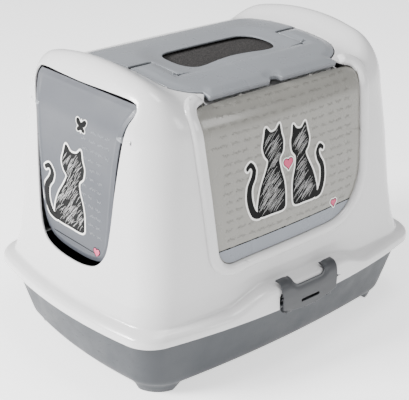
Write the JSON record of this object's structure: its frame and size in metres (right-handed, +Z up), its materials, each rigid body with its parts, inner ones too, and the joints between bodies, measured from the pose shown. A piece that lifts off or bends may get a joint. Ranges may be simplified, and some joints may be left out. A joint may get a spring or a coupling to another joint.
{
  "type": "hooded cat litter box",
  "caption": "Covered pet litter pan: lift-off hood with an end swing flap, a curved flip-up side panel, folding carry handle over a foam filter, and two side latches.",
  "frame": {"origin": "centre of the footprint, on the floor", "axes": "+Z up, +Y along the long side towards the closed end (the entry flap faces -Y), +X towards the side with the flip-up panel"},
  "size_m": [0.3728, 0.483, 0.374],
  "materials": {
    "pan_grey": "injection-moulded grey plastic, satin, fine moulded grain, faint scratches",
    "hood_white": "injection-moulded white plastic, glossy with soft waviness",
    "panel_print": "beige-grey plastic with an in-moulded printed film, semi-gloss",
    "smoke_flap": "blue-grey translucent plastic, semi-gloss, printed",
    "top_grey": "light grey moulded plastic, satin gloss",
    "foam": "open-cell carbon foam, speckled dark brown-grey",
    "latch_grey": "grey moulded plastic, satin",
    "pin": "grey moulded plastic pin"
  },
  "bodies": {
    "tray": {"tray": "pan_grey", "latch_rod_right": "pin", "latch_rod_left": "pin"},
    "hood": {"hood_shell": "hood_white", "carbon_filter": "foam"},
    "lid": {"filter_lid": "top_grey"},
    "handle": {"handle": "top_grey"},
    "panel": {"flip_panel": "panel_print"},
    "door": {"entry_door": "smoke_flap"},
    "latch_right": {"latch_right": "latch_grey"},
    "latch_left": {"latch_left": "latch_grey"}
  },
  "joints": [
    {"name": "hood_lift", "type": "slide", "parent": "tray", "child": "hood", "axis": [0, 0, 1], "range_m": [0, 0.3]},
    {"name": "latch_right_swing", "type": "hinge", "parent": "tray", "child": "latch_right", "pos_m": [0.1768, 0, 0.0795], "axis": [0, 1, 0], "range_deg": [0, 95]},
    {"name": "latch_left_swing", "type": "hinge", "parent": "tray", "child": "latch_left", "pos_m": [-0.1768, 0, 0.0795], "axis": [0, -1, 0], "range_deg": [0, 95]},
    {"name": "door_swing", "type": "hinge", "parent": "hood", "child": "door", "pos_m": [0, -0.1905, 0.305], "axis": [1, 0, 0], "range_deg": [-75, 75]},
    {"name": "panel_flip", "type": "hinge", "parent": "hood", "child": "panel", "pos_m": [0.1196, 0, 0.3392], "axis": [0, -1, 0], "range_deg": [0, 110]},
    {"name": "handle_fold", "type": "hinge", "parent": "hood", "child": "handle", "pos_m": [0.022, 0, 0.35097], "axis": [0, -1, 0], "range_deg": [0, 90]},
    {"name": "lid_open", "type": "hinge", "parent": "hood", "child": "lid", "pos_m": [-0.0826, 0, 0.3463], "axis": [0, -1, 0], "range_deg": [0, 75]}
  ]
}
